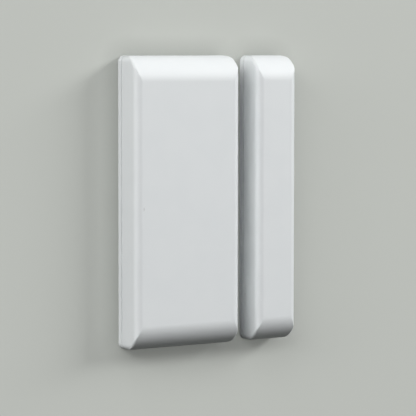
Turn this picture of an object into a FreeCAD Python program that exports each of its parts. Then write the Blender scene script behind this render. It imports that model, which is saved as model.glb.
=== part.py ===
import FreeCAD, Part
import math
import operator
import os
import Sketcher

# Wireless reed switch: a slim transmitter and its magnet unit, both in white moulded housings.
# Frame: +Z up, -Y towards the front, origin in the middle of the transmitter's back face.
# A depth is measured from the back face towards the front, so it lies at y = -depth.

# Driving sizes in millimetres: name, value, meaning
SIZES = (
    ("housing_height", 65.0, "height of both housings"),
    ("cell_size", 20.0, "coin cell across, which sets the width of the transmitter"),
    ("sensor_depth", 8.0, "depth of the transmitter"),
    ("magnet_width", 10.5, "width of the magnet unit"),
    ("magnet_depth", 7.7, "depth of the magnet unit"),
    ("unit_gap", 5.0, "gap between the two housings as installed"),
    ("end_round", 5.6, "round at the front top and front bottom"),
    ("side_round", 1.6, "round along the long front edges"),
    ("outline_round", 1.4, "round at the corners of the front view"),
    ("edge_round", 0.5, "small round along the sides of the rounded ends"),
    ("wall", 1.2, "wall of the covers"),
    ("cavity_round", 0.4, "round in the corners inside the covers"),
    ("base_thickness", 1.3, "back plate, seen as the rim behind the seam"),
    ("seam_gap", 0.2, "width of the shadow line between rim and cover"),
    ("seam_inset", 0.5, "how far the shadow line goes in"),
    ("lip_clearance", 0.1, "between the locating lip and the cover"),
    ("lip_wall", 0.8, "wall of the locating lip"),
    ("lip_rise", 0.6, "height of the locating lip above the floor"),
    ("tongue_width", 6.0, "width of a snap tongue"),
    ("tongue_rise", 2.5, "height of a snap tongue above the floor"),
    ("tongue_end", 13.5, "from the housing's ends to the middle of a snap tongue"),
    ("barb_reach", 0.35, "how far a barb stands out of its tongue"),
    ("barb_rise", 0.9, "height of a barb"),
    ("barb_catch", 0.2, "height of the sloping back of a barb"),
    ("catch_clearance", 0.1, "round a barb in its catch"),
    ("screw_hole", 3.2, "hole for a wall screw"),
    ("screw_sink", 5.6, "countersink for a wall screw"),
    ("screw_land", 1.4, "flat plate left round a countersink"),
    ("screw_pad_rise", 0.3, "raised pad round a screw hole"),
    ("sensor_screw_end", 10.5, "from the transmitter's ends to its screw holes"),
    ("magnet_screw_end", 8.5, "from the magnet unit's ends to its screw holes"),
    ("board_clearance", 0.2, "round the board inside the lip"),
    ("board_stand", 0.5, "height of the board above the floor"),
    ("board_thickness", 0.8, "circuit board"),
    ("board_corner", 1.5, "round at the board's corners"),
    ("post_size", 3.2, "rests under the board"),
    ("post_inset", 1.8, "from the board's edges to a rest's middle, across"),
    ("post_end_inset", 3.0, "from the board's ends to a rest's middle, up"),
    ("pin_size", 1.6, "locating pins through the board"),
    ("pin_reach", 0.3, "pins stand this far out of the board"),
    ("pin_clearance", 0.1, "round a pin in the board"),
    ("hook_width", 4.0, "hooks that hold the board's ends"),
    ("hook_stem", 1.0, "thickness of a hook"),
    ("hook_nose", 0.7, "how far a hook reaches over the board"),
    ("hook_rise", 0.8, "height of a hook's nose"),
    ("hook_clearance", 0.05, "between a hook's nose and the board"),
    ("cell_thickness", 3.2, "coin cell"),
    ("cell_end_gap", 5.5, "from the housing's bottom up to the cell"),
    ("cell_side_gap", 0.35, "between the feet of the cell's clip and the locating lip"),
    ("cell_crimp", 1.2, "crimped ring round the cell's cap"),
    ("cell_edge", 0.4, "bevel at the cell's front edge"),
    ("cell_cap_rise", 0.3, "height of the cap"),
    ("contact_size", 12.0, "negative contact across"),
    ("contact_sheet", 0.12, "sheet of the negative contact"),
    ("contact_rise", 0.25, "height of the negative contact's dimple"),
    ("clip_sheet", 0.25, "spring steel of the positive clip"),
    ("clip_width", 6.0, "positive clip"),
    ("clip_clearance", 0.15, "between the cell's edge and the clip"),
    ("clip_foot", 0.65, "feet of the clip"),
    ("glass_size", 2.0, "reed switch capsule across"),
    ("glass_length", 14.0, "reed switch capsule"),
    ("glass_wall", 0.3, "wall of the capsule"),
    ("glass_seal", 1.6, "solid glass at each end of the capsule"),
    ("glass_end_flat", 0.15, "flat ring between the lead and the round at the capsule's ends"),
    ("glass_float", 0.1, "between the capsule and the board"),
    ("glass_inset", 1.6, "from the board's right edge to the capsule's middle"),
    ("glass_end_gap", 3.4, "from the cell's clip up to the lower lead of the reed switch"),
    ("lead_size", 0.5, "leads of the reed switch"),
    ("lead_run", 2.8, "straight lead from the glass to its bend"),
    ("lead_bend", 0.8, "bend of a lead"),
    ("lead_tail", 0.3, "leads stand this far out of the board's back"),
    ("reed_width", 1.1, "flat reed"),
    ("reed_sheet", 0.2, "flat reed"),
    ("reed_lap", 1.0, "overlap of the two reeds"),
    ("reed_air", 0.15, "air between the two reeds"),
    ("antenna_wire", 0.7, "antenna wire across"),
    ("antenna_bend", 1.4, "bends of the antenna wire"),
    ("antenna_lift", 1.6, "wire's middle above the board"),
    ("antenna_inset", 1.3, "from the board's edges to the wire's middle"),
    ("antenna_top", 3.2, "from the board's top to the antenna's cross run"),
    ("antenna_cell_gap", 1.0, "from the cell up to the foot of the long leg"),
    ("antenna_reed_gap", 2.4, "from the reed switch's upper lead up to the foot of the short leg"),
    ("hole_clearance", 0.05, "round leads and wires in the board"),
    ("window_size", 3.0, "thinned spot of the cover in front of the LED"),
    ("window_wall", 0.5, "wall left at the thinned spot"),
    ("tamper_post", 2.4, "post of the cover that presses the tamper switch"),
    ("bar_thickness", 4.5, "bar magnet"),
    ("bar_clearance", 0.15, "round the bar magnet"),
    ("bar_round", 0.4, "round along the bar magnet's long edges"),
    ("stop_wall", 0.9, "walls at the bar magnet's ends"),
    ("stop_rise", 2.8, "height of those walls above the floor"),
    ("stop_gap", 2.75, "between those walls and the pads round the screw holes"),
    ("press_rib", 1.0, "ribs of the magnet cover that press the bar"),
    ("press_inset", 7.0, "from the bar's ends to those ribs"),
    ("gusset_width", 0.8, "ribs in the rounded ends of the transmitter cover"),
    ("gusset_place", 7.0, "those ribs left and right of the middle"),
    ("gusset_run", 3.0, "length of a gusset along the front wall"),
    ("gusset_foot", 0.9, "length of a gusset's foot along the end wall"),
    ("gusset_lift", 0.6, "between a gusset and the board"),
    ("dimple_size", 4.0, "flat top of the negative contact's dimple"),
    ("dimple_slope", 1.0, "sloping ring round that top"),
    ("blade_margin", 0.3, "between a flat reed and the seal"),
    ("lead_root", 0.6, "length of a lead inside its flat reed"),
    ("chip_lead_pitch", 1.27, "leads of the controller chip"),
    ("chip_lead_end", 0.5, "at least this much between the chip's ends and its outer leads"),
    ("chip_lead_width", 0.4, "leads of the controller chip"),
    ("chip_lead_sheet", 0.15, "leads of the controller chip"),
    ("chip_lead_reach", 1.05, "leads of the controller chip out of its body"),
    ("chip_lead_foot", 0.6, "feet of those leads"),
    ("chip_stand", 0.1, "controller chip's body above the board"),
)

# Parts soldered to the board: outline and height, and for a stepped part
# the outline and height of what stands on its body
BOARD_PARTS = {
    "radio_chip": {"wide": 4.0, "tall": 4.0, "rise": 0.9},
    "controller_chip": {"wide": 3.9, "tall": 8.65, "rise": 1.5},
    "crystal": {"wide": 3.2, "tall": 5.0, "rise": 0.8, "top_wide": 2.8, "top_tall": 4.6, "top_rise": 0.3},
    "antenna_filter": {"wide": 3.0, "tall": 3.0, "rise": 0.7,
                       "top_wide": 2.7, "top_tall": 2.7, "top_rise": 0.4},
    "bulk_capacitor": {"wide": 2.8, "tall": 3.5, "rise": 1.9},
    "protection_diode": {"wide": 1.6, "tall": 2.7, "rise": 1.1},
    "status_led": {"wide": 1.6, "tall": 0.8, "rise": 0.3, "top_wide": 1.1, "top_tall": 0.8, "top_rise": 0.4},
    "learn_switch": {"wide": 4.2, "tall": 3.2, "rise": 1.6, "top_size": 1.6, "top_rise": 0.5},
    "tamper_switch": {"wide": 3.0, "tall": 3.0, "rise": 1.6, "top_size": 1.4, "top_rise": 0.6},
}

# Chips that are used more than once, with one node for each kind
CHIP_GROUPS = {
    "chip_capacitors": {"wide": 0.8, "tall": 1.6, "rise": 0.8},
    "chip_resistors": {"wide": 0.8, "tall": 1.6, "rise": 0.45},
    "chip_inductors": {"wide": 0.8, "tall": 1.6, "rise": 0.9},
}

# Columns of parts on the board: place as a share of the board's width, then the parts from the cell upwards
COLUMNS = (
    (-0.37, ("chip_resistors", "chip_resistors", "chip_capacitors", "chip_capacitors", "chip_inductors",
             "chip_resistors")),
    (-0.185, ("chip_resistors", "controller_chip", "chip_capacitors", "radio_chip", "antenna_filter",
              "status_led")),
    (0.0, ("chip_resistors", "chip_capacitors", "chip_capacitors", "chip_capacitors", "chip_inductors",
           "chip_resistors")),
    (0.14, ("bulk_capacitor", "crystal", "learn_switch", "tamper_switch")),
    (0.29, ("protection_diode", "chip_resistors", "chip_resistors", "chip_capacitors", "chip_capacitors",
            "chip_inductors")),
)

# Turn of the rounded end up to which a gusset follows it
GUSSET_TURN = math.radians(40)

document = FreeCAD.newDocument("wireless_reed_switch")
sheet = document.addObject("Spreadsheet::Sheet", "sizes")
board_part_sizes = [
    (f"{label}_{key}", number, f"{key} of the {label.replace('_', ' ')}")
    for label, numbers in [*BOARD_PARTS.items(), *CHIP_GROUPS.items()]
    for key, number in numbers.items()
]
for row, (alias, number, meaning) in enumerate([*SIZES, *board_part_sizes], 1):
    sheet.set(f"A{row}", meaning)
    sheet.set(f"B{row}", str(number))
    sheet.setAlias(f"B{row}", alias)
document.recompute()


# Sizes that carry their expression
OPERATIONS = {"+": operator.add, "-": operator.sub, "*": operator.mul, "/": operator.truediv}


class Size:
    """A length with its number and the sheet expression that gives it."""

    def __init__(self, number, text):
        self.number = number
        self.text = text

    def __add__(self, other):
        return combined(self, "+", other)

    def __radd__(self, other):
        return combined(other, "+", self)

    def __sub__(self, other):
        return combined(self, "-", other)

    def __rsub__(self, other):
        return combined(other, "-", self)

    def __mul__(self, other):
        return combined(self, "*", other)

    def __rmul__(self, other):
        return combined(other, "*", self)

    def __truediv__(self, other):
        return combined(self, "/", other)

    def __neg__(self):
        return combined(-1, "*", self)


def as_size(thing):
    """A Size as it is, or a Size that holds a plain number."""
    return thing if isinstance(thing, Size) else Size(float(thing), repr(float(thing)))


def combined(left, sign, right):
    left = as_size(left)
    right = as_size(right)
    return Size(OPERATIONS[sign](left.number, right.number), f"({left.text} {sign} {right.text})")


class Sheet:
    """The driving sizes by name, such as at.wall."""

    def __getattr__(self, alias):
        return Size(float(getattr(sheet, alias)), f"sizes.{alias}")


at = Sheet()
ZERO = as_size(0)


# Helpers for sketches and features
def tie(thing, place, size):
    """Set a property and keep it tied to the sheet."""
    thing.setExpression(place, as_size(size).text)


def origin_item(body, role):
    return next(item for item in body.Origin.OriginFeatures if item.Role == role)


def new_body(label):
    body = document.addObject("PartDesign::Body", label)
    body.Label = label
    return body


def new_sketch(body, name, plane, offset=ZERO):
    """A sketch on one of the body's own planes. On XZ_Plane the offset is a depth."""
    sketch = body.newObject("Sketcher::SketchObject", f"{body.Name}_{name}")
    sketch.AttachmentSupport = [(origin_item(body, plane), "")]
    sketch.MapMode = "FlatFace"
    tie(sketch, "AttachmentOffset.Base.z", offset)
    return sketch


def hold(sketch, geometry, point, across, up):
    """Hold a point of a sketch at its distances from the sketch's origin."""
    for kind, axis, size in (("DistanceX", -2, as_size(across)), ("DistanceY", -1, as_size(up))):
        if size.text == ZERO.text:
            sketch.addConstraint(Sketcher.Constraint("PointOnObject", geometry, point, axis))
        else:
            index = sketch.addConstraint(Sketcher.Constraint(kind, -1, 1, geometry, point, size.number))
            tie(sketch, f"Constraints[{index}]", size)


def draw_polygon(sketch, corners):
    """A closed outline of straight lines, each corner held."""
    points = [FreeCAD.Vector(as_size(a).number, as_size(b).number, 0) for a, b in corners]
    count = len(points)
    lines = [sketch.addGeometry(Part.LineSegment(points[i], points[(i + 1) % count])) for i in range(count)]
    for i, line in enumerate(lines):
        sketch.addConstraint(Sketcher.Constraint("Coincident", line, 2, lines[(i + 1) % count], 1))
    for line, (a, b) in zip(lines, corners):
        hold(sketch, line, 1, a, b)


def draw_rectangle(sketch, across, up, width, height):
    """A rectangle about its middle."""
    left, right = across - width / 2, across + width / 2
    low, high = up - height / 2, up + height / 2
    draw_polygon(sketch, ((left, low), (right, low), (right, high), (left, high)))


def draw_circle(sketch, across, up, diameter):
    radius = as_size(diameter) / 2
    centre = FreeCAD.Vector(as_size(across).number, as_size(up).number, 0)
    ring = sketch.addGeometry(Part.Circle(centre, FreeCAD.Vector(0, 0, 1), radius.number))
    hold(sketch, ring, 3, across, up)
    index = sketch.addConstraint(Sketcher.Constraint("Radius", ring, radius.number))
    tie(sketch, f"Constraints[{index}]", radius)


def finished(feature):
    """Recompute, and stop at once if the feature came out failed."""
    document.recompute()
    if "Invalid" in feature.State or "Error" in feature.State or feature.Shape.isNull():
        raise ValueError(f"{feature.Name} failed: {feature.State}")
    return feature


def extrude(body, kind, sketch, length, symmetric=False, reversed_way=False):
    feature = body.newObject(f"PartDesign::{kind}", f"{sketch.Name}_{kind.lower()}")
    feature.Profile = sketch
    feature.SideType = "Symmetric" if symmetric else "One side"
    feature.Reversed = reversed_way
    tie(feature, "Length", length)
    return finished(feature)


def pad(body, sketch, length, symmetric=False, reversed_way=False):
    return extrude(body, "Pad", sketch, length, symmetric, reversed_way)


def pocket(body, sketch, length, symmetric=False):
    """A pocket that runs from the sketch towards the front, or both ways. It has to remove material."""
    before = body.Shape.Volume
    feature = extrude(body, "Pocket", sketch, length, symmetric, reversed_way=not symmetric)
    if body.Shape.Volume > before - 1e-6:
        raise ValueError(f"{feature.Name} cuts nothing")
    return feature


def mirror(body, features, plane):
    feature = body.newObject("PartDesign::Mirrored", f"{features[0].Name}_mirrored")
    feature.Originals = features
    feature.MirrorPlane = (origin_item(body, plane), [""])
    body.Tip = feature
    return finished(feature)


def revolve(body, sketch, axis):
    feature = body.newObject("PartDesign::Revolution", f"{sketch.Name}_revolution")
    feature.Profile = sketch
    feature.ReferenceAxis = (origin_item(body, axis), [""])
    feature.Angle = 360
    return finished(feature)


def edges_where(shape, wanted):
    return [f"Edge{index}" for index, edge in enumerate(shape.Edges, 1) if wanted(edge)]


def fillet(body, name, wanted, radius):
    """Round the edges of the body's last feature that the test picks."""
    tip = body.Tip
    feature = body.newObject("PartDesign::Fillet", f"{body.Name}_{name}")
    feature.Base = (tip, edges_where(tip.Shape, wanted))
    tie(feature, "Radius", radius)
    return finished(feature)


def box_of(edge):
    box = edge.BoundBox
    return (box.XMin, box.XMax), (box.YMin, box.YMax), (box.ZMin, box.ZMax)


def abs_span(span):
    return tuple(sorted(abs(place) for place in span))


def near(first, second):
    return abs(first - second) < 1e-4


def flat_at(span, place):
    """Whether a span has no length and lies at a place."""
    return near(span[0], place) and near(span[1], place)


def runs_along(span, others):
    """Whether an edge's span has a length and the two others have none."""
    return span[1] - span[0] > 1e-4 and all(near(*other) for other in others)


def front_to_back_at(half_across, half_up):
    """A test for edges that run front to back at these distances from the middle."""
    def wanted(edge):
        across, depth, up = box_of(edge)
        return (runs_along(depth, (across, up)) and near(abs(across[0]), half_across.number)
                and near(abs(up[0]), half_up.number))
    return wanted


# Places shared by the housings and what they hold
floor = at.base_thickness + at.seam_gap
lip_inset = at.wall + at.lip_clearance
lip_inner_inset = lip_inset + at.lip_wall
clip_inside = at.cell_size / 2 + at.clip_clearance
clip_outside = clip_inside + at.clip_sheet
clip_end = clip_outside + at.clip_foot
sensor_width = 2 * (clip_end + at.cell_side_gap + lip_inner_inset)
tongue_up = at.housing_height / 2 - at.tongue_end
tongue_front = floor + at.tongue_rise
board_back = floor + at.board_stand
board_front = board_back + at.board_thickness
board_width = sensor_width - 2 * (lip_inner_inset + at.board_clearance)
board_height = at.housing_height - 2 * (lip_inner_inset + at.board_clearance)
post_across = board_width / 2 - at.post_inset
post_up = board_height / 2 - at.post_end_inset
hook_inner = at.housing_height / 2 - lip_inner_inset - at.hook_stem
magnet_across = sensor_width / 2 + at.unit_gap + at.magnet_width / 2
bar_front = floor + at.bar_thickness
screw_pad = at.screw_sink + 2 * at.screw_land
magnet_screw_up = at.housing_height / 2 - at.magnet_screw_end
stop_outer = magnet_screw_up - screw_pad / 2 - at.stop_gap
bar_length = 2 * (stop_outer - at.stop_wall - at.bar_clearance)

# Heights of what the board carries
cell_up = at.cell_end_gap + at.cell_size / 2 - at.housing_height / 2
cell_top = cell_up + at.cell_size / 2
lead_foot = at.glass_length / 2 + at.lead_run + at.lead_bend
glass_up = cell_up + at.clip_width / 2 + at.glass_end_gap + lead_foot
glass_across = board_width / 2 - at.glass_inset
antenna_across = board_width / 2 - at.antenna_inset
antenna_up = board_height / 2 - at.antenna_top
long_leg_up = cell_top + at.antenna_cell_gap
short_leg_up = glass_up + lead_foot + at.antenna_reed_gap


def places_on_board():
    """Middles of the soldered parts, with equal gaps in each column between the cell and the antenna."""
    places = {}
    for share, labels in COLUMNS:
        talls = [getattr(at, f"{label}_tall") for label in labels]
        gap = (antenna_up - cell_top - sum(talls, ZERO)) / (len(labels) + 1)
        for i, label in enumerate(labels):
            up = cell_top + (i + 1) * gap + sum(talls[:i], ZERO) + talls[i] / 2
            places.setdefault(label, []).append((share * board_width, up))
    return places


board_places = places_on_board()


# Moulded housings
def moulded_base(label, width, screw_up, pad_width):
    """A back plate with its rim, locating lip, four snap tongues and two countersunk screw holes."""
    body = new_body(label)
    sketch = new_sketch(body, "plate", "XZ_Plane")
    draw_rectangle(sketch, ZERO, ZERO, width, at.housing_height)
    pad(body, sketch, at.base_thickness)

    # a slightly smaller step that the cover's edge sits on, so that a shadow line shows round it
    sketch = new_sketch(body, "seat", "XZ_Plane", at.base_thickness)
    draw_rectangle(sketch, ZERO, ZERO, width - 2 * at.seam_inset, at.housing_height - 2 * at.seam_inset)
    pad(body, sketch, at.seam_gap)
    fillet(body, "seat_corners",
           front_to_back_at(width / 2 - at.seam_inset, at.housing_height / 2 - at.seam_inset),
           at.outline_round - at.seam_inset)
    fillet(body, "plate_corners", front_to_back_at(width / 2, at.housing_height / 2), at.outline_round)

    # the locating lip that the cover slides over
    sketch = new_sketch(body, "lip", "XZ_Plane", floor)
    for inset in (lip_inset, lip_inner_inset):
        draw_rectangle(sketch, ZERO, ZERO, width - 2 * inset, at.housing_height - 2 * inset)
    pad(body, sketch, at.lip_rise)
    fillet(body, "lip_corners", front_to_back_at(width / 2 - lip_inset, at.housing_height / 2 - lip_inset),
           at.cavity_round)

    # snap tongues on the long sides, with a barb on the outside of each
    tongue_across = width / 2 - lip_inset - at.lip_wall / 2
    sketch = new_sketch(body, "tongues", "XZ_Plane", floor)
    for side in (-1, 1):
        for end in (-1, 1):
            draw_rectangle(sketch, side * tongue_across, end * tongue_up, at.lip_wall, at.tongue_width)
    pad(body, sketch, at.tongue_rise)
    outside = width / 2 - lip_inset
    root = outside - at.lip_wall / 2
    tip = outside + at.barb_reach
    barb_back = tongue_front - at.barb_rise
    for end, place in (("low", -tongue_up), ("high", tongue_up)):
        sketch = new_sketch(body, f"barbs_{end}", "XY_Plane", place)
        for side in (-1, 1):
            draw_polygon(sketch, (
                (side * root, -barb_back),
                (side * outside, -barb_back),
                (side * tip, -(barb_back + at.barb_catch)),
                (side * outside, -tongue_front),
                (side * root, -tongue_front),
            ))
        pad(body, sketch, at.tongue_width, symmetric=True)

    # screw holes through raised pads
    sketch = new_sketch(body, "screw_pads", "XZ_Plane", floor)
    for end in (-1, 1):
        draw_rectangle(sketch, ZERO, end * screw_up, pad_width, screw_pad)
    pad(body, sketch, at.screw_pad_rise)
    sketch = new_sketch(body, "screw_places", "XZ_Plane", floor + at.screw_pad_rise)
    for end in (-1, 1):
        draw_circle(sketch, ZERO, end * screw_up, at.screw_hole)
    document.recompute()
    holes = body.newObject("PartDesign::Hole", f"{label}_screw_holes")
    holes.Profile = sketch
    document.recompute()
    holes.ThreadType = "None"
    holes.DepthType = "ThroughAll"
    holes.HoleCutType = "Countersink"
    holes.HoleCutCustomValues = True
    holes.HoleCutCountersinkAngle = 90
    tie(holes, "Diameter", at.screw_hole)
    tie(holes, "HoleCutDiameter", at.screw_sink)
    document.recompute()
    return body


def draw_side_profile(sketch, back, front, half_height, radius):
    """The side view of a cover: flat back, straight ends and quarter rounds at both ends of the front."""
    corners = (
        (-back, -half_height),
        (-(front - radius), -half_height),
        (-front, -(half_height - radius)),
        (-front, half_height - radius),
        (-(front - radius), half_height),
        (-back, half_height),
    )
    points = [FreeCAD.Vector(across.number, up.number, 0) for across, up in corners]
    # an arc is drawn anticlockwise, so its own start lies at the later of its two corners
    arc_turns = {1: (math.pi, 1.5 * math.pi), 3: (0.5 * math.pi, math.pi)}
    ends = {i: (2, 1) if i in arc_turns else (1, 2) for i in range(len(points))}
    centre_across = -(front - radius)
    for i, start in enumerate(points):
        if i in arc_turns:
            centre = FreeCAD.Vector(centre_across.number, points[2 if i == 1 else 3].y, 0)
            circle = Part.Circle(centre, FreeCAD.Vector(0, 0, 1), radius.number)
            sketch.addGeometry(Part.ArcOfCircle(circle, *arc_turns[i]))
        else:
            sketch.addGeometry(Part.LineSegment(start, points[(i + 1) % len(points)]))
    for i in range(len(points)):
        following = (i + 1) % len(points)
        sketch.addConstraint(Sketcher.Constraint("Coincident", i, ends[i][1], following, ends[following][0]))
    for i, (across, up) in enumerate(corners):
        hold(sketch, i, ends[i][0], across, up)
    for i in arc_turns:
        index = sketch.addConstraint(Sketcher.Constraint("DistanceX", -1, 1, i, 3, centre_across.number))
        tie(sketch, f"Constraints[{index}]", centre_across)


def draw_corner_waste(sketch, side, end, half_width, half_height, radius):
    """What a corner of a view loses to its round, with room beyond both faces."""
    inner, outer = side * (half_width - radius), side * (half_width + radius)
    tangent, beyond = end * (half_height - radius), end * (half_height + radius)
    corners = ((side * half_width, tangent), (outer, tangent), (outer, beyond), (inner, beyond),
               (inner, end * half_height))
    points = [FreeCAD.Vector(across.number, up.number, 0) for across, up in corners]
    lines = [sketch.addGeometry(Part.LineSegment(*ends)) for ends in zip(points, points[1:])]
    centre = FreeCAD.Vector(inner.number, tangent.number, 0)
    circle = Part.Circle(centre, FreeCAD.Vector(0, 0, 1), radius.number)
    # an arc is drawn anticlockwise, so the quarter that it starts in says which of its ends comes first
    quarter = {(1, 1): 0, (-1, 1): 1, (-1, -1): 2, (1, -1): 3}[side, end]
    arc = sketch.addGeometry(Part.ArcOfCircle(circle, quarter * math.pi / 2, (quarter + 1) * math.pi / 2))
    at_side, at_end = (1, 2) if side == end else (2, 1)
    for line, following in zip(lines, lines[1:]):
        sketch.addConstraint(Sketcher.Constraint("Coincident", line, 2, following, 1))
    sketch.addConstraint(Sketcher.Constraint("Coincident", lines[-1], 2, arc, at_end))
    sketch.addConstraint(Sketcher.Constraint("Coincident", arc, at_side, lines[0], 1))
    for line, (across, up) in zip(lines, corners):
        hold(sketch, line, 1, across, up)
    hold(sketch, lines[-1], 2, *corners[-1])
    index = sketch.addConstraint(Sketcher.Constraint("DistanceX", -1, 1, arc, 3, inner.number))
    tie(sketch, f"Constraints[{index}]", inner)


def moulded_cover(label, width, depth):
    """A shell with rounded ends, rounded long edges, an open back and four catches for the tongues."""
    body = new_body(label)
    sketch = new_sketch(body, "profile", "YZ_Plane")
    draw_side_profile(sketch, floor, depth, at.housing_height / 2, at.end_round)
    pad(body, sketch, width, symmetric=True)
    half_width = width.number / 2
    fillet(body, "edge_rounds",
           lambda edge: flat_at(abs_span(box_of(edge)[0]), half_width)
           and not flat_at(box_of(edge)[1], -floor.number),
           at.edge_round)

    # the larger rounds of the long edges run out through the rounded ends, in a crisp mitre
    sketch = new_sketch(body, "long_edges", "XY_Plane")
    for side in (-1, 1):
        draw_corner_waste(sketch, side, -1, width / 2, depth, at.side_round)
    pocket(body, sketch, at.housing_height, symmetric=True)

    # the corners of the front view, the same as the base's
    sketch = new_sketch(body, "outline_corners", "XZ_Plane", floor)
    for side in (-1, 1):
        for end in (-1, 1):
            draw_corner_waste(sketch, side, end, width / 2, at.housing_height / 2, at.outline_round)
    pocket(body, sketch, depth - floor)

    # the cavity, with the same rounded ends one wall further in
    inner_width = width - 2 * at.wall
    sketch = new_sketch(body, "cavity", "YZ_Plane")
    draw_side_profile(sketch, floor, depth - at.wall, at.housing_height / 2 - at.wall,
                      at.end_round - at.wall)
    pocket(body, sketch, inner_width, symmetric=True)
    half_cavity = inner_width.number / 2
    fillet(body, "cavity_rounds",
           lambda edge: flat_at(abs_span(box_of(edge)[0]), half_cavity)
           and not flat_at(box_of(edge)[1], -floor.number),
           at.cavity_round)

    # catches in the long sides, one for each barb
    catch_reach = at.barb_reach - at.lip_clearance + at.catch_clearance
    catch_back = tongue_front - at.barb_rise - at.catch_clearance
    sketch = new_sketch(body, "catches", "XZ_Plane", catch_back)
    for side in (-1, 1):
        for end in (-1, 1):
            draw_rectangle(sketch, side * inner_width / 2, end * tongue_up,
                           2 * catch_reach, at.tongue_width + 2 * at.catch_clearance)
    pocket(body, sketch, at.barb_rise + 2 * at.catch_clearance)
    return body


sensor_screw_up = at.housing_height / 2 - at.sensor_screw_end
sensor_base = moulded_base("sensor_base", sensor_width, sensor_screw_up, screw_pad)
sensor_cover = moulded_cover("sensor_cover", sensor_width, at.sensor_depth)
magnet_inside = at.magnet_width - 2 * lip_inner_inset
magnet_base = moulded_base("magnet_base", at.magnet_width, magnet_screw_up, magnet_inside + at.lip_wall)
magnet_cover = moulded_cover("magnet_cover", at.magnet_width, at.magnet_depth)
for piece in (magnet_base, magnet_cover):
    tie(piece, "Placement.Base.x", magnet_across)


# What only the transmitter's base has: rests, pins and hooks for the board
sketch = new_sketch(sensor_base, "rests", "XZ_Plane", floor)
for side in (-1, 1):
    for up in (-post_up, ZERO, post_up):
        draw_circle(sketch, side * post_across, up, at.post_size)
pad(sensor_base, sketch, at.board_stand)
sketch = new_sketch(sensor_base, "pins", "XZ_Plane", floor)
for side in (-1, 1):
    draw_circle(sketch, side * post_across, -side * post_up, at.pin_size)
pad(sensor_base, sketch, at.board_stand + at.board_thickness + at.pin_reach)
hook_outer = hook_inner + at.hook_stem + at.lip_wall / 2
hook_back = board_front + at.hook_clearance
hook_front = hook_back + at.hook_rise
sketch = new_sketch(sensor_base, "hook", "YZ_Plane")
draw_polygon(sketch, (
    (-floor, hook_outer),
    (-floor, hook_inner),
    (-hook_back, hook_inner),
    (-hook_back, hook_inner - at.hook_nose),
    (-hook_front, hook_inner + at.hook_stem / 2),
    (-hook_front, hook_outer),
))
hook = pad(sensor_base, sketch, at.hook_width, symmetric=True)
mirror(sensor_base, [hook], "XY_Plane")

# What only the transmitter's cover has: a thinned spot, a post and gussets in its rounded ends
sensor_inner_front = at.sensor_depth - at.wall
led_across, led_up = board_places["status_led"][0]
sketch = new_sketch(sensor_cover, "window", "XZ_Plane", sensor_inner_front)
draw_circle(sketch, led_across, led_up, at.window_size)
pocket(sensor_cover, sketch, at.wall - at.window_wall)
tamper_across, tamper_up = board_places["tamper_switch"][0]
tamper_front = board_front + at.tamper_switch_rise + at.tamper_switch_top_rise
sketch = new_sketch(sensor_cover, "tamper_post", "XZ_Plane", tamper_front)
draw_circle(sketch, tamper_across, tamper_up, at.tamper_post)
pad(sensor_cover, sketch, sensor_inner_front + at.wall / 2 - tamper_front)
wall_middle = at.end_round - at.wall / 2
round_depth = at.sensor_depth - at.end_round
round_up = at.housing_height / 2 - at.end_round
gusset_back = board_front + at.gusset_lift
sketch = new_sketch(sensor_cover, "gussets", "YZ_Plane", at.gusset_place)
draw_polygon(sketch, (
    (-(round_depth + wall_middle), round_up - at.gusset_run),
    (-(round_depth + wall_middle), round_up),
    (-(round_depth + wall_middle * math.cos(GUSSET_TURN)), round_up + wall_middle * math.sin(GUSSET_TURN)),
    (-gusset_back, at.housing_height / 2 - at.wall / 2),
    (-gusset_back, at.housing_height / 2 - at.wall - at.gusset_foot),
))
gusset = pad(sensor_cover, sketch, at.gusset_width, symmetric=True)
mirror(sensor_cover, [gusset], "YZ_Plane")

# What only the magnet unit has: end walls for the bar, and ribs of the cover that press it
sketch = new_sketch(magnet_base, "stops", "XZ_Plane", floor)
for end in (-1, 1):
    stop_up = end * (stop_outer - at.stop_wall / 2)
    draw_rectangle(sketch, ZERO, stop_up, magnet_inside + at.lip_wall, at.stop_wall)
pad(magnet_base, sketch, at.stop_rise)
sketch = new_sketch(magnet_cover, "press_ribs", "XZ_Plane", bar_front)
for end in (-1, 1):
    draw_rectangle(sketch, ZERO, end * (bar_length / 2 - at.press_inset), magnet_inside, at.press_rib)
pad(magnet_cover, sketch, at.magnet_depth - at.wall / 2 - bar_front)


# Bar magnet
bar_magnet = new_body("bar_magnet")
bar_width = magnet_inside - 2 * at.bar_clearance
sketch = new_sketch(bar_magnet, "outline", "XZ_Plane", floor)
draw_rectangle(sketch, ZERO, ZERO, bar_width, bar_length)
pad(bar_magnet, sketch, at.bar_thickness)
fillet(bar_magnet, "edges", lambda edge: runs_along(box_of(edge)[2], box_of(edge)[:2]), at.bar_round)
tie(bar_magnet, "Placement.Base.x", magnet_across)


# Circuit board, with holes for the pins, leads and wires, and notches for the hooks
circuit_board = new_body("circuit_board")
sketch = new_sketch(circuit_board, "outline", "XZ_Plane", board_back)
draw_rectangle(sketch, ZERO, ZERO, board_width, board_height)
pad(circuit_board, sketch, at.board_thickness)
fillet(circuit_board, "corners", front_to_back_at(board_width / 2, board_height / 2), at.board_corner)
sketch = new_sketch(circuit_board, "notches", "XZ_Plane", board_back)
notch_depth = board_height / 2 - (hook_inner - at.board_clearance)
for end in (-1, 1):
    notch_width = at.hook_width + 2 * at.board_clearance
    draw_rectangle(sketch, ZERO, end * board_height / 2, notch_width, 2 * notch_depth)
pocket(circuit_board, sketch, at.board_thickness)
sketch = new_sketch(circuit_board, "holes", "XZ_Plane", board_back)
for side in (-1, 1):
    draw_circle(sketch, side * post_across, -side * post_up, at.pin_size + 2 * at.pin_clearance)
    draw_circle(sketch, glass_across, glass_up + side * lead_foot, at.lead_size + 2 * at.hole_clearance)
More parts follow.
